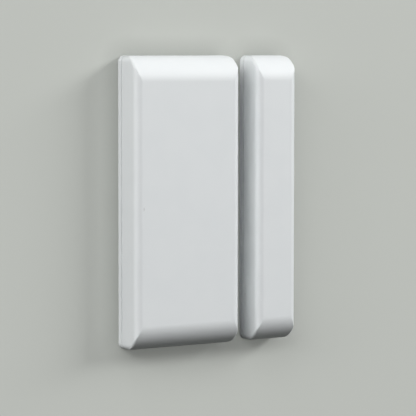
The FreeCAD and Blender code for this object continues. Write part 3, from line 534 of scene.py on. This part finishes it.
# Reed switch: a clear, slightly green glass capsule, with its ends melted round the leads. Inside lie two
# flat nickel-iron reeds with plated tips, which run on as round tinned leads.
GLASS = colour(0.86, 0.95, 0.90)
GLASS_SEAL = colour(0.55, 0.75, 0.66)
REED = colour(0.60, 0.59, 0.57)
REED_TIP = colour(0.42, 0.43, 0.46)
GLASS_IOR = 1.51
SEAL_STARTS = (5.0 * MM, 5.8 * MM)
TIP_ENDS = (1.2 * MM, 1.35 * MM)


def capsule_glass(place):
    low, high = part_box("reed_glass")
    from_middle = abs(place.axes()[2] - (low.z + high.z) / 2)
    seal = from_middle.rises(*SEAL_STARTS)
    drawn = place.noise(0.4 * MM, stretch=(1, 1, 8))
    return {
        "Base Color": seal.mix(GLASS, GLASS_SEAL),
        "Roughness": 0.03 + 0.05 * drawn * seal,
        "Transmission Weight": 1.0,
        "IOR": GLASS_IOR,
        "Normal": place.node("Bump", {"Distance": 0.01 * MM, "Height": drawn}),
    }


def reed_metal(place):
    low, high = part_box("reed_glass")
    from_middle = abs(place.axes()[2] - (low.z + high.z) / 2)
    tip = 1 - from_middle.rises(*TIP_ENDS)
    drawn = place.noise(0.06 * MM, detail=3.0, stretch=(1, 1, 14))
    return {
        "Base Color": tip.mix(REED, REED_TIP),
        "Metallic": 1.0,
        "Roughness": 0.26 + 0.2 * drawn,
        "Normal": place.relief(drawn, 0.003 * MM, edge=0.03 * MM),
    }


dress("reed_glass", make_material("capsule_glass", capsule_glass))
reed_finish = make_material("reed_metal", reed_metal)
dress("reed_upper", reed_finish)
dress("reed_lower", reed_finish)


# Antenna: bare copper wire, bent round the upper half of the board, a little darkened by air and tinned
# where its two feet go into the board.
COPPER = colour(0.72, 0.36, 0.21)
COPPER_DARK = colour(0.40, 0.19, 0.11)
TINNED_BEHIND = (-3.7 * MM, -3.4 * MM)


def antenna_copper(place):
    tinned = place.axes()[1].rises(*TINNED_BEHIND)
    aired = place.noise(1.5 * MM, detail=4.0).rises(0.4, 0.75)
    drawn = place.noise(0.08 * MM, detail=2.0, stretch=(3, 3, 3))
    return {
        "Base Color": tinned.mix(aired.mix(COPPER, COPPER_DARK), TIN),
        "Metallic": 1.0,
        "Roughness": 0.26 + 0.18 * aired + 0.1 * drawn,
        "Normal": place.relief(drawn, 0.003 * MM, edge=0.03 * MM),
    }


dress("antenna_wire", make_material("antenna_copper", antenna_copper))


# Solder joints: each wire foot is soldered on both faces of the board. The solder wets the ring on the
# board and climbs the wire, so its outline is hollow.
JOINT_RADIUS = 0.68 * MM
JOINT_RISE = 0.28 * MM
JOINT_WAIST = 0.28 * MM
JOINT_HOLLOW = 2.4
TIN_DULL = colour(0.58, 0.58, 0.57)
JOINT_SIDES = 28
JOINT_STEPS = 9


def solder_joint(foot, face_y, way):
    """Points and faces of one joint.

    At height t of its rise, from 0 to 1, its radius is waist + (foot - waist) * (1 - t) ** hollow. The
    outline is turned round the wire and closed by a point on the axis at each end.
    """
    t = np.linspace(0, 1, JOINT_STEPS)
    outline = JOINT_WAIST + (JOINT_RADIUS - JOINT_WAIST) * (1 - t) ** JOINT_HOLLOW
    radius = np.concatenate(([0], outline, [0]))
    height = np.concatenate(([0], t, [1])) * JOINT_RISE
    turn = np.arange(JOINT_SIDES) * math.tau / JOINT_SIDES
    ring, angle = np.meshgrid(np.arange(1, len(radius) - 1), turn, indexing="ij")
    around = np.stack((foot[0] + radius[ring] * np.cos(angle),
                       face_y + way * height[ring],
                       foot[1] + way * radius[ring] * np.sin(angle)), axis=-1).reshape(-1, 3)
    ends = np.array(((foot[0], face_y, foot[1]), (foot[0], face_y + way * JOINT_RISE, foot[1])))
    rows = np.arange(JOINT_STEPS * JOINT_SIDES).reshape(JOINT_STEPS, JOINT_SIDES)
    following = np.roll(rows, -1, axis=1)
    walls = np.stack((rows[:-1], rows[1:], following[1:], following[:-1]), axis=-1).reshape(-1, 4)
    foot_point = np.full(JOINT_SIDES, len(around))
    tip_point = foot_point + 1
    caps = ((rows[0], following[0], foot_point), (following[-1], rows[-1], tip_point))
    faces = walls.tolist() + [row for cap in caps for row in np.stack(cap, axis=-1).tolist()]
    return np.concatenate((around, ends)), faces


board_low, board_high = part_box("circuit_board")
joint_points, joint_faces = [], []
for foot in WIRE_FEET:
    for face_y, way in ((board_low.y, -1), (board_high.y, 1)):
        points, faces = solder_joint(foot, face_y, way)
        start = len(joint_points) * len(points)
        joint_points.append(points)
        joint_faces += [[start + corner for corner in face] for face in faces]
joint_mesh = bpy.data.meshes.new("solder_joints")
joint_mesh.from_pydata(np.concatenate(joint_points).tolist(), [], joint_faces)
joint_mesh.shade_smooth()
solder_joints = bpy.data.objects.new("solder_joints", joint_mesh)
bpy.context.scene.collection.objects.link(solder_joints)


def solder_metal(place):
    frosted = place.noise(0.12 * MM, detail=3.0)
    cloud = place.noise(0.5 * MM)
    return {
        "Base Color": cloud.mix(TIN, TIN_DULL),
        "Metallic": 1.0,
        "Roughness": 0.24 + 0.2 * frosted,
        "Normal": place.node("Bump", {"Distance": 0.004 * MM, "Height": frosted}),
    }


joint_mesh.materials.append(make_material("solder_metal", solder_metal))
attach(solder_joints, "root")


# Transmitter cover: a deep shell in the same white ABS, with large rounds at the front top and bottom. It
# snaps over the base's four tongues. A small grey scuff shows on its front, near the left edge.
SCUFF = (-11.6 * MM, -1.0 * MM)
SCUFF_SIZE = (0.22 * MM, 0.55 * MM)
SCUFF_GREY = 0.35
SCUFF_SINK = 2
FRONT_FACE = (-7.0 * MM, -6.5 * MM)


def cover_marks(place):
    x, y, z = place.axes()
    from_scuff = ((x - SCUFF[0]) / SCUFF_SIZE[0]).length_with((z - SCUFF[1]) / SCUFF_SIZE[1])
    scuff = (1 - from_scuff.rises(0.3, 1.0)) * (1 - y.rises(*FRONT_FACE))
    return SCUFF_GREY * scuff, -SCUFF_SINK * scuff


dress("sensor_cover", white_moulding("sensor_cover_white", cover_marks))


# Magnet base and bar magnet: the same back plate, narrower, with end walls for a nickel-plated neodymium
# bar, whose plating is smooth, a little wavy and dull in places.
MAGNET_MIDDLE = 23.75 * MM
MAGNET_EJECTOR_AT = (2.6 * MM, 12.0 * MM)
PLATING = colour(0.62, 0.61, 0.58)
PLATING_DULL = colour(0.57, 0.56, 0.53)


def magnet_plating(place):
    wavy = place.noise(1.2 * MM)
    dull = place.noise(6 * MM, detail=3.0).rises(0.45, 0.8)
    return {
        "Base Color": dull.mix(PLATING, PLATING_DULL),
        "Metallic": 1.0,
        "Roughness": 0.14 + 0.10 * dull,
        "Normal": place.relief(wavy, 0.02 * MM, edge=0.1 * MM),
    }


dress("magnet_base", white_moulding("magnet_base_white", base_marks(MAGNET_MIDDLE, *MAGNET_EJECTOR_AT)))
dress("bar_magnet", make_material("magnet_plating", magnet_plating))


# Magnet cover: the same deep shell as the transmitter's, narrower and a little shallower. It snaps over its
# base and presses the bar down with two ribs. Faint smudges are all that it shows.
SMUDGE_SIZE = 5 * MM


def smudge_marks(place):
    smudge = place.noise(SMUDGE_SIZE, detail=4.0).rises(0.62, 0.9)
    return 0.05 * smudge, -0.2 * smudge


dress("magnet_cover", white_moulding("magnet_cover_white", smudge_marks))


# Wall and floor: a plain pale upright surface that the pair is fixed to, open behind the two bases so that
# their backs can be seen, and a plain pale floor below. The wall shows only from the front, with painted
# shade that darkens it close by the pair, and to the camera it partly glows, painted light that lifts its
# shadows. Rays other than the camera's see both sheets darker, so that undersides stay in shade.
WALL_COLOUR = colour(0.57, 0.59, 0.555)
WALL_PAINTED_SHADE = colour(0.20, 0.21, 0.195)
WALL_DARK = colour(0.26, 0.27, 0.25)
PAINTED_SHADE_REACH = 5 * MM
WALL_PAINTED_GLOW = 0.36
WALL_GAP = 0.03 * MM
FLOOR_UP = -0.35
WALL_HALF = 0.4
FLOOR_HALF = 3.0
CORNER_ROUND = 1.4 * MM
OPENING_INSET = 0.05 * MM
PALE = colour(0.78, 0.79, 0.78)
FLOOR_SHOWN = 0.7
FLOOR_DARK = colour(0.06, 0.06, 0.06)
UNITS = ((0.0, 13.5 * MM), (MAGNET_MIDDLE, 5.25 * MM))
HALF_HEIGHT = 32.5 * MM


def flat_stage(name, corners, made):
    """A flat sheet that is no part of the product."""
    mesh = bpy.data.meshes.new(name)
    mesh.from_pydata(corners, [], [(0, 1, 2, 3)])
    mesh.materials.append(made)
    sheet = bpy.data.objects.new(name, mesh)
    bpy.context.scene.collection.objects.link(sheet)


def stage_material(name, build):
    """A material whose surface is what build makes of an empty tree."""
    made = bpy.data.materials.new(name)
    made.use_nodes = True
    made.node_tree.nodes.clear()
    start = Shade(made.node_tree)
    start.node("OutputMaterial", {"Surface": build(start)})
    return made


def seen_plainly(start):
    """1 for rays that come from the camera, from a shiny surface or through glass."""
    kinds = ("Camera", "Glossy", "Transmission")
    camera, glossy, passing = (start.node("LightPath", {}, output=f"Is {kind} Ray") for kind in kinds)
    return camera.larger(glossy).larger(passing)


def wall_surface(start):
    x, y, z = start.node("TexCoord", {}, output="Object").axes()
    opening = 0.0
    for middle, half_width in UNITS:
        beyond_x = (abs(x - middle) - (half_width - CORNER_ROUND)).larger(0.0)
        beyond_z = (abs(z) - (HALF_HEIGHT - CORNER_ROUND)).larger(0.0)
        opening = beyond_x.length_with(beyond_z).below(CORNER_ROUND - OPENING_INSET) + opening
    from_behind = start.node("NewGeometry", {}, output="Backfacing")
    to_camera = start.node("LightPath", {}, output="Is Camera Ray")
    clear = opening.larger(from_behind * to_camera)
    # Painted shade: ambient occlusion darkens the wall's colour close by the pair, in place of a contact
    # shadow.
    painted_shade_openness = start.node("AmbientOcclusion", {"Distance": PAINTED_SHADE_REACH}, {"samples": 8}, output="AO")
    painted_shade_tint = painted_shade_openness.mix(WALL_PAINTED_SHADE, WALL_COLOUR)
    paint = start.node("BsdfDiffuse", {"Color": to_camera.mix(WALL_DARK, painted_shade_tint)})
    shown = start.node("Emission", {"Color": painted_shade_tint, "Strength": 1.0})
    # To the camera the wall partly glows with that colour, painted light that lifts the shadows on it.
    seen = (to_camera * WALL_PAINTED_GLOW).blend(paint, shown)
    return clear.blend(seen, start.node("BsdfTransparent", {}))


def floor_surface(start):
    shown = start.node("Emission", {"Color": PALE, "Strength": FLOOR_SHOWN})
    unseen = start.node("BsdfDiffuse", {"Color": FLOOR_DARK})
    return seen_plainly(start).blend(unseen, shown)


flat_stage("wall", [(-WALL_HALF, WALL_GAP, FLOOR_UP), (WALL_HALF, WALL_GAP, FLOOR_UP),
                    (WALL_HALF, WALL_GAP, WALL_HALF), (-WALL_HALF, WALL_GAP, WALL_HALF)],
           stage_material("wall_paint", wall_surface))
flat_stage("floor", [(-FLOOR_HALF, -FLOOR_HALF, FLOOR_UP), (FLOOR_HALF, -FLOOR_HALF, FLOOR_UP),
                     (FLOOR_HALF, FLOOR_HALF, FLOOR_UP), (-FLOOR_HALF, FLOOR_HALF, FLOOR_UP)],
           stage_material("floor_paint", floor_surface))


# Light: soft boxes at the left front, the left side, the right front and above, one behind for the backs,
# and a dim even sky.
LAMP_AWAY = 1.2
SKY_COLOUR = colour(0.96, 0.98, 1.0)
SKY_LEVEL = 0.03


def soft_box(name, azimuth, elevation, width, height, level):
    """A flat lamp aimed at the pair, at a level that lights a white surface facing it by that much."""
    across, up = math.radians(azimuth), math.radians(elevation)
    way = Vector((math.sin(across) * math.cos(up), -math.cos(across) * math.cos(up), math.sin(up)))
    lamp = bpy.data.lights.new(name, "AREA")
    lamp.shape = "RECTANGLE"
    lamp.size, lamp.size_y = width, height
    lamp.energy = level * (math.pi * LAMP_AWAY) ** 2
    holder = bpy.data.objects.new(name, lamp)
    holder.location = way * LAMP_AWAY
    holder.rotation_euler = way.to_track_quat("Z", "Y").to_euler()
    bpy.context.scene.collection.objects.link(holder)


soft_box("light_left", -54, 28, 0.8, 0.4, 0.585)
soft_box("light_side", -85, 15, 0.5, 0.5, 0.34)
soft_box("light_right", 62, 24, 0.6, 0.3, 0.96)
soft_box("light_above", -40, 55, 0.4, 0.4, 0.15)
soft_box("light_behind", 200, 15, 0.9, 0.9, 0.65)

world = bpy.data.worlds.new("sky")
world.use_nodes = True
world.node_tree.nodes.clear()
sky = Shade(world.node_tree)
sky_light = sky.node("Background", {"Color": SKY_COLOUR, "Strength": SKY_LEVEL})
sky_pale = sky.node("Background", {"Color": PALE, "Strength": 1.0})
sky.node("OutputWorld", {"Surface": seen_plainly(sky).blend(sky_light, sky_pale)})
bpy.context.scene.world = world
bpy.context.scene.view_settings.view_transform = "Standard"


# Camera: a long lens 0.5 m away, 32.2 degrees to the left of the front and 4.2 degrees above it, where the
# pair's outlines fall as they do in the photograph.
TURN, TILT, ROLL = (math.radians(angle) for angle in (32.211, 4.160, 0.048))
AIM = Vector((8.5 * MM, 0.0, 0.0))
AWAY = 500.9 * MM
SHIFT_RIGHT, SHIFT_DOWN = -1.199 * MM, -1.947 * MM
SENSOR_WIDE = 36.0
LENS_LONG = 191.56
CLIP_START = 0.01

ahead = Vector((math.sin(TURN) * math.cos(TILT), math.cos(TURN) * math.cos(TILT), -math.sin(TILT)))
level = Vector((math.cos(TURN), -math.sin(TURN), 0.0))
down = ahead.cross(level)
right = level * math.cos(ROLL) - down * math.sin(ROLL)
down = level * math.sin(ROLL) + down * math.cos(ROLL)
lens = bpy.data.cameras.new("camera")
lens.sensor_width = SENSOR_WIDE
lens.lens = LENS_LONG
lens.clip_start = CLIP_START
camera = bpy.data.objects.new("camera", lens)
stand = AIM - right * SHIFT_RIGHT - down * SHIFT_DOWN - ahead * AWAY
turned = Matrix((right, -down, -ahead)).transposed().to_4x4()
camera.matrix_world = Matrix.Translation(stand) @ turned
bpy.context.scene.collection.objects.link(camera)
bpy.context.scene.camera = camera
